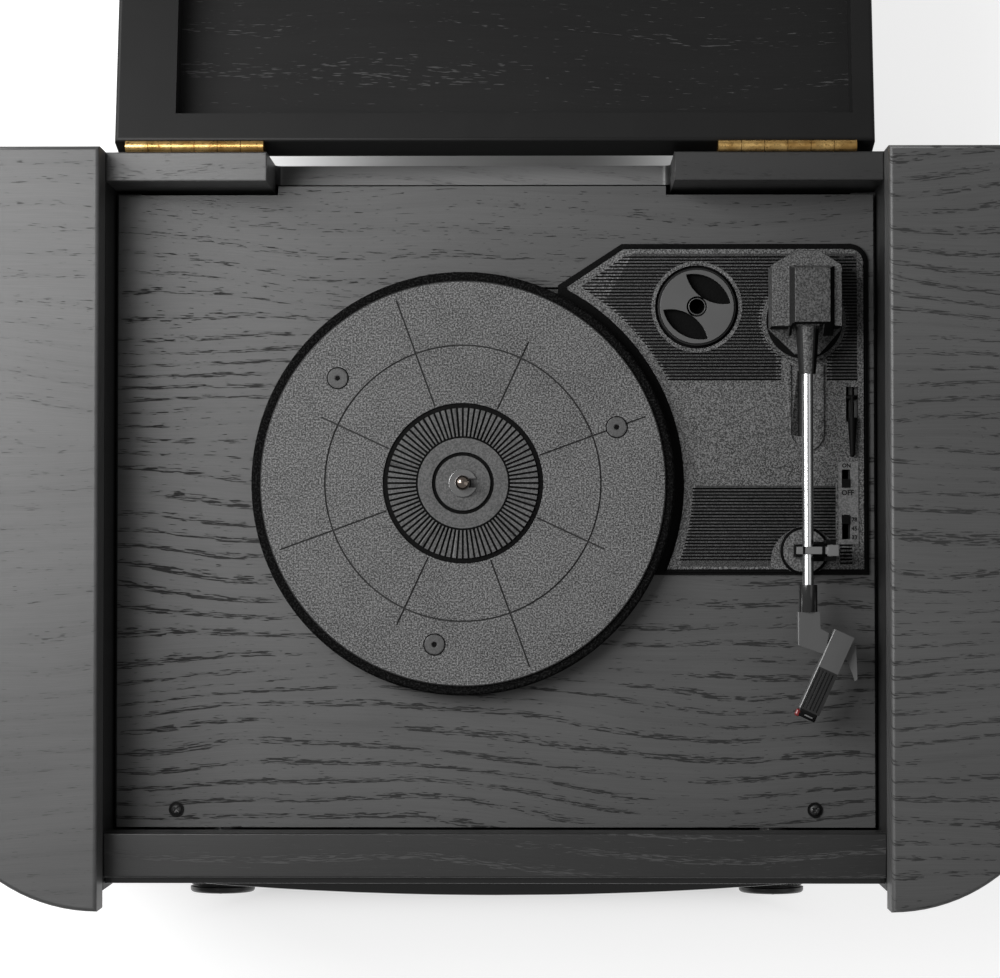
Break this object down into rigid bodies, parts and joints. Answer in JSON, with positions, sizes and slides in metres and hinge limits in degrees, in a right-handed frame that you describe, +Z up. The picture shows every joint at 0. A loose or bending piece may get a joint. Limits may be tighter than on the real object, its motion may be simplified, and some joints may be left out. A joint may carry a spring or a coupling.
{
  "type": "music center",
  "caption": "Black oak tabletop music center: capped wings with curved speaker grilles, hinged lid open behind a belt-driven turntable with tonearm, tuning dial between knobs.",
  "frame": {"origin": "centre of the object's footprint with the lid open, on the surface that the feet stand on", "axes": "+X to the right seen from the front, +Y to the back, where the open lid lies, +Z up"},
  "size_m": [0.536, 0.7174, 0.22],
  "materials": {
    "black_oak": "open-grained oak under black stain, satin",
    "dark_board": "black lacquered board, matt",
    "lid_oak": "black stained oak panel, satin",
    "back_board": "black painted fibreboard",
    "speaker_black": "black steel frame on a board",
    "rubber": "matt black",
    "fascia_black": "glossy black",
    "knob_black": "satin black",
    "clear_window": "clear",
    "scale_dark": "dark grey",
    "pointer_red": "red",
    "brass": "worn satin brass",
    "bush_metal": "satin",
    "screw_black": "black zinc",
    "plate_black": "fine spark texture",
    "tub_black": "plain moulded",
    "platter_black": "fine texture",
    "mat_grey": "grained",
    "label_grey": "moulded ribs",
    "spindle_steel": "polished",
    "motor_steel": "zinc plated",
    "arm_black": "fine texture",
    "tube_aluminium": "polished",
    "cartridge_red": "red",
    "latch_grey": "grey",
    "switch_grey": "grey",
    "board_green": "solder mask"
  },
  "bodies": {
    "cabinet": {"base_board": "dark_board", "rubber_feet": "rubber", "left_wing_cap": "black_oak", "right_wing_cap": "black_oak", "left_wing_shell": "black_oak", "right_wing_shell": "black_oak", "left_wing_wall": "dark_board", "right_wing_wall": "dark_board", "left_grille": "knob_black", "right_grille": "knob_black", "back_panel": "back_board", "left_hinge_block": "black_oak", "right_hinge_block": "black_oak", "front_rail": "black_oak", "baffle_board": "back_board", "front_fascia": "fascia_black", "dial_panel": "fascia_black", "dial_scale": "scale_dark", "dial_window": "clear_window", "knob_bushes": "bush_metal", "deck_cleats": "back_board", "deck_board": "black_oak", "deck_screws": "screw_black", "left_hinge": "brass", "right_hinge": "brass", "mechanism_plate": "plate_black", "chassis_tub": "tub_black", "spindle": "spindle_steel", "spindle_clip": "screw_black", "drive_belt": "rubber", "motor": "motor_steel", "arm_base": "arm_black", "arm_rest": "arm_black", "switch_plate": "switch_grey", "left_speaker": "speaker_black", "right_speaker": "speaker_black", "circuit_board": "board_green"},
    "lid": {"lid_frame": "dark_board", "lid_panel": "lid_oak", "left_lid_leaf": "brass", "right_lid_leaf": "brass"},
    "platter": {"platter": "platter_black", "platter_mat": "mat_grey", "label_ring": "label_grey", "rubber_buttons": "rubber"},
    "pulley": {"motor_pulley": "brass"},
    "adapter": {"adapter": "plate_black"},
    "turret": {"arm_turret": "arm_black", "arm_cover": "arm_black"},
    "arm": {"arm_block": "arm_black", "arm_tube": "tube_aluminium", "headshell": "arm_black", "cartridge": "cartridge_red"},
    "latch": {"arm_latch": "latch_grey"},
    "cue_lever": {"cue_lever": "knob_black"},
    "speed_switch": {"speed_switch": "knob_black"},
    "stop_switch": {"stop_switch": "knob_black"},
    "volume_knob": {"volume_knob": "knob_black"},
    "tuning_knob": {"tuning_knob": "knob_black"},
    "pointer": {"dial_pointer": "pointer_red"}
  },
  "joints": [
    {"name": "lid_hinge", "type": "hinge", "parent": "cabinet", "child": "lid", "pos_m": [0, 0.00401, 0.1952], "axis": [1, 0, 0], "range_deg": [0, 191.73]},
    {"name": "platter_spin", "type": "hinge", "parent": "cabinet", "child": "platter", "pos_m": [-0.0155, -0.15669, 0.1736], "axis": [0, 0, 1], "continuous": true},
    {"name": "pulley_spin", "type": "hinge", "parent": "cabinet", "child": "pulley", "pos_m": [-0.07448, -0.19798, 0.164], "axis": [0, 0, 1], "continuous": true},
    {"name": "adapter_lift", "type": "slide", "parent": "cabinet", "child": "adapter", "axis": [0, 0, 1], "range_m": [0, 0.03]},
    {"name": "arm_swing", "type": "hinge", "parent": "cabinet", "child": "turret", "pos_m": [0.15, -0.07769, 0.1615], "axis": [0, 0, -1], "range_deg": [0, 46]},
    {"name": "arm_lift", "type": "hinge", "parent": "turret", "child": "arm", "pos_m": [0.15, -0.07769, 0.184], "axis": [-1, 0, 0], "range_deg": [0, 7]},
    {"name": "latch_flip", "type": "hinge", "parent": "cabinet", "child": "latch", "pos_m": [0.1605, -0.18929, 0.188], "axis": [0, 1, 0], "range_deg": [0, 77]},
    {"name": "cue_raise", "type": "hinge", "parent": "cabinet", "child": "cue_lever", "pos_m": [0.1732, -0.11469, 0.1602], "axis": [-1, 0, 0], "range_deg": [0, 60]},
    {"name": "speed_slide", "type": "slide", "parent": "cabinet", "child": "speed_switch", "axis": [0, -1, 0], "range_m": [0, 0.0072]},
    {"name": "stop_slide", "type": "slide", "parent": "cabinet", "child": "stop_switch", "axis": [0, 1, 0], "range_m": [0, 0.0042]},
    {"name": "volume_turn", "type": "hinge", "parent": "cabinet", "child": "volume_knob", "pos_m": [-0.1365, -0.34769, 0.112], "axis": [0, 1, 0], "range_deg": [0, 300]},
    {"name": "tuning_turn", "type": "hinge", "parent": "cabinet", "child": "tuning_knob", "pos_m": [0.1365, -0.34769, 0.112], "axis": [0, 1, 0], "range_deg": [-270, 270]},
    {"name": "pointer_slide", "type": "slide", "parent": "cabinet", "child": "pointer", "axis": [1, 0, 0], "range_m": [-0.06, 0.06]}
  ],
  "couplings": [
    {"joint": "pulley_spin", "follows": "platter_spin", "ratio": 12.4},
    {"joint": "latch_flip", "follows": "arm_lift", "ratio": 11},
    {"joint": "pointer_slide", "follows": "tuning_turn", "m_per_rad": 0.012711}
  ]
}
